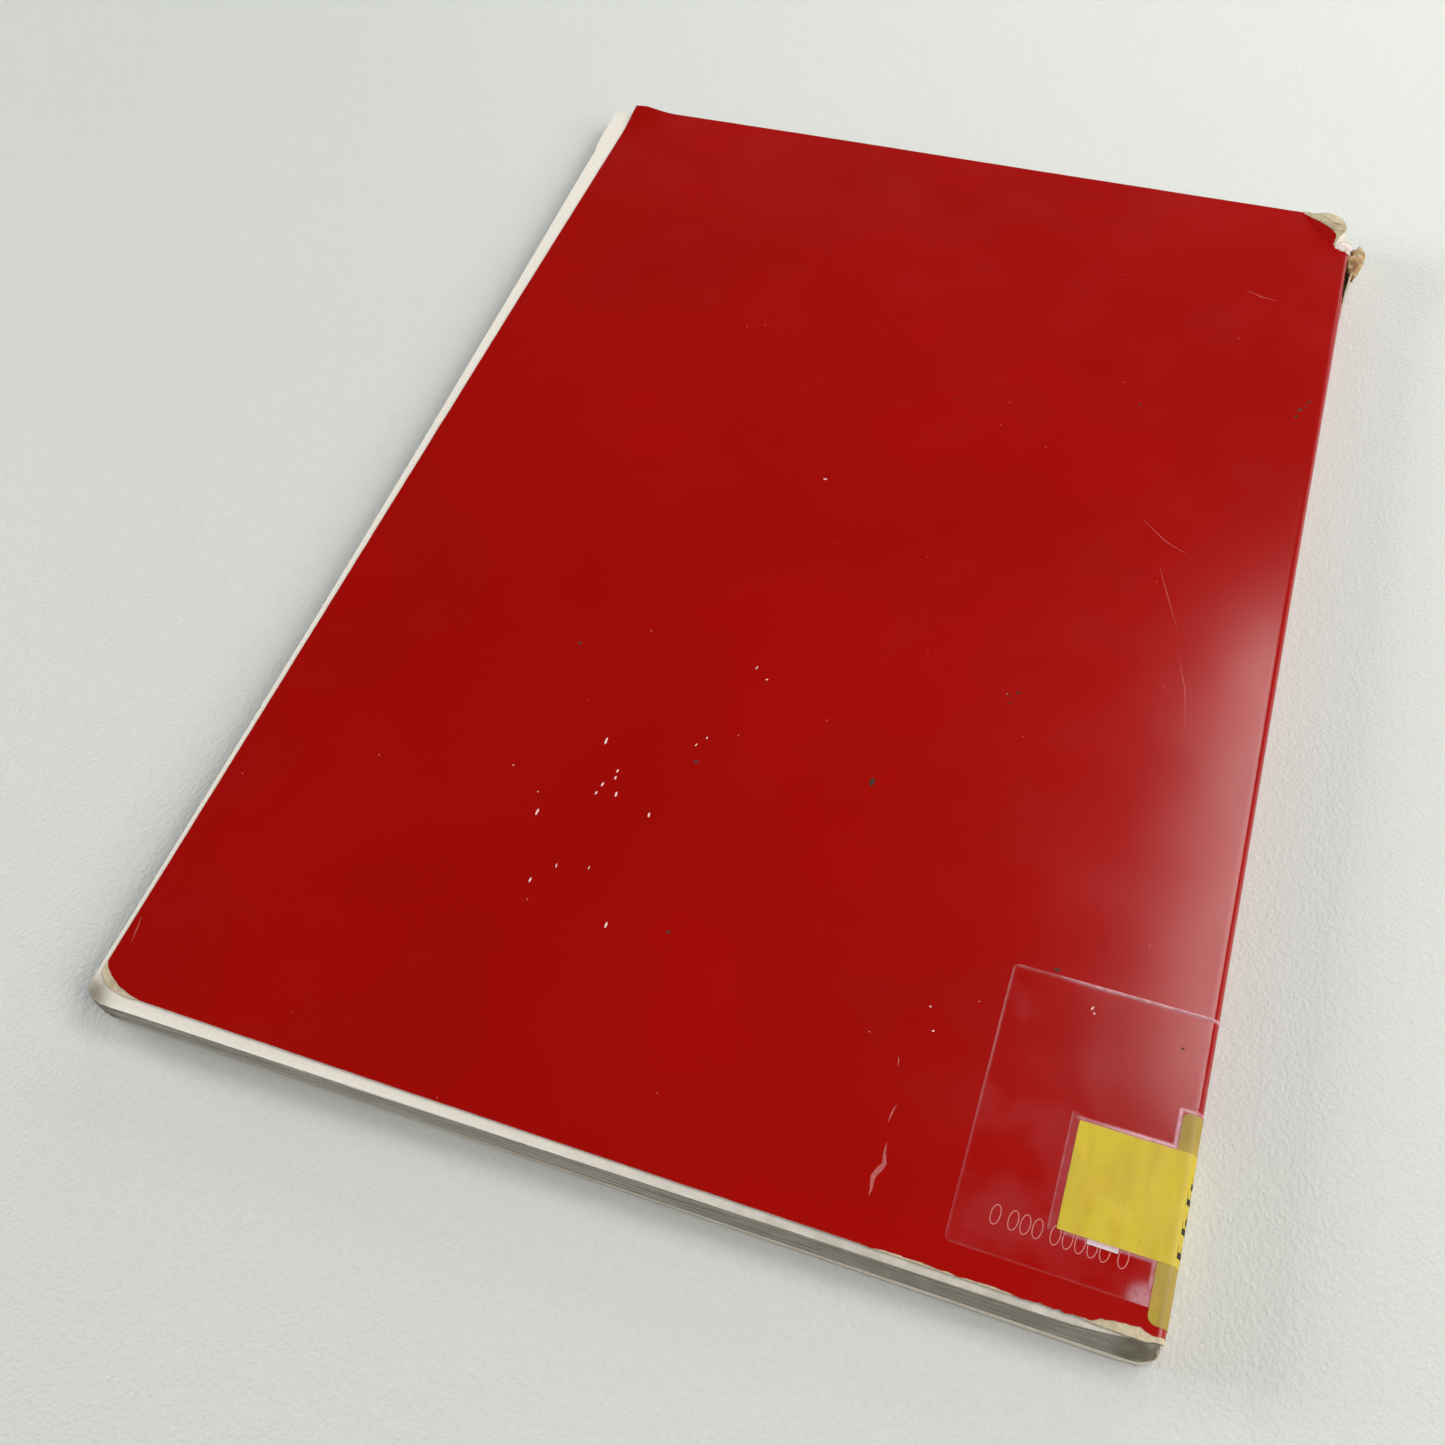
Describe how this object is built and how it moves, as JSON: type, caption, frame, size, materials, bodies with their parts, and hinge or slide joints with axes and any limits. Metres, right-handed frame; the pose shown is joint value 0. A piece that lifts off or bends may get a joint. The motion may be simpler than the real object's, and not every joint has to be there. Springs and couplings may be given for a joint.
{
  "type": "softback book",
  "caption": "Thin worn A4 softback book lying closed on its front cover: hinged laminated card covers, turning leaves, a glued spine and paper shelf labels taped over it.",
  "frame": {"origin": "centre of the whole book's outline, on the front cover's outer face that it lies on", "axes": "+X from the fore-edge to the spine, +Y from the tail to the head, +Z from the front cover up through the pages to the back cover"},
  "size_m": [0.2104, 0.2996, 0.0072],
  "materials": {
    "cover_card": "printed red on one side, unbleached inside",
    "gloss_laminate": "clear gloss film over red print",
    "page_paper": "uncoated, a little yellowed",
    "hot_melt_glue": "dull amber",
    "ochre_label_paper": "aged yellow label",
    "yellow_label_paper": "yellow label",
    "white_label_paper": "white label",
    "clear_tape": "clear book-covering film"
  },
  "bodies": {
    "binding": {"spine_panel": "cover_card", "spine_laminate": "gloss_laminate", "spine_adhesive": "hot_melt_glue", "leaf_section_1": "page_paper", "old_label_spine": "ochre_label_paper", "shelf_label_spine": "yellow_label_paper", "tape_spine": "clear_tape"},
    "back_cover": {"back_cover": "cover_card", "back_laminate": "gloss_laminate", "old_label_back": "ochre_label_paper", "shelf_label_back": "yellow_label_paper", "tape_back": "clear_tape", "price_tag": "white_label_paper"},
    "front_cover": {"front_cover": "cover_card", "front_laminate": "gloss_laminate"},
    "section_2": {"leaf_section_2": "page_paper"},
    "section_3": {"leaf_section_3": "page_paper"},
    "section_4": {"leaf_section_4": "page_paper"},
    "section_5": {"leaf_section_5": "page_paper"},
    "section_6": {"leaf_section_6": "page_paper"},
    "section_7": {"leaf_section_7": "page_paper"},
    "section_8": {"leaf_section_8": "page_paper"}
  },
  "joints": [
    {"name": "back_cover_hinge", "type": "hinge", "parent": "binding", "child": "back_cover", "pos_m": [0.10504, 0, 0.007], "axis": [0, 1, 0], "range_deg": [0, 181.8]},
    {"name": "front_cover_hinge", "type": "hinge", "parent": "binding", "child": "front_cover", "pos_m": [0.10504, 0, 0], "axis": [0, -1, 0], "range_deg": [0, 180]},
    {"name": "section_2_turn", "type": "hinge", "parent": "binding", "child": "section_2", "pos_m": [0.10504, 0, 0.007], "axis": [0, 1, 0], "range_deg": [0, 180]},
    {"name": "section_3_turn", "type": "hinge", "parent": "binding", "child": "section_3", "pos_m": [0.10504, 0, 0.007], "axis": [0, 1, 0], "range_deg": [0, 180]},
    {"name": "section_4_turn", "type": "hinge", "parent": "binding", "child": "section_4", "pos_m": [0.10504, 0, 0.007], "axis": [0, 1, 0], "range_deg": [0, 180]},
    {"name": "section_5_turn", "type": "hinge", "parent": "binding", "child": "section_5", "pos_m": [0.10504, 0, 0.007], "axis": [0, 1, 0], "range_deg": [0, 180]},
    {"name": "section_6_turn", "type": "hinge", "parent": "binding", "child": "section_6", "pos_m": [0.10504, 0, 0.007], "axis": [0, 1, 0], "range_deg": [0, 180]},
    {"name": "section_7_turn", "type": "hinge", "parent": "binding", "child": "section_7", "pos_m": [0.10504, 0, 0.007], "axis": [0, 1, 0], "range_deg": [0, 180]},
    {"name": "section_8_turn", "type": "hinge", "parent": "binding", "child": "section_8", "pos_m": [0.10504, 0, 0.007], "axis": [0, 1, 0], "range_deg": [0, 180]}
  ],
  "couplings": [
    {"joint": "section_2_turn", "follows": "back_cover_hinge", "ratio": 0.03},
    {"joint": "section_3_turn", "follows": "back_cover_hinge", "ratio": 0.06},
    {"joint": "section_4_turn", "follows": "back_cover_hinge", "ratio": 0.1},
    {"joint": "section_5_turn", "follows": "back_cover_hinge", "ratio": 0.88},
    {"joint": "section_6_turn", "follows": "back_cover_hinge", "ratio": 0.92},
    {"joint": "section_7_turn", "follows": "back_cover_hinge", "ratio": 0.95},
    {"joint": "section_8_turn", "follows": "back_cover_hinge", "ratio": 0.98}
  ]
}
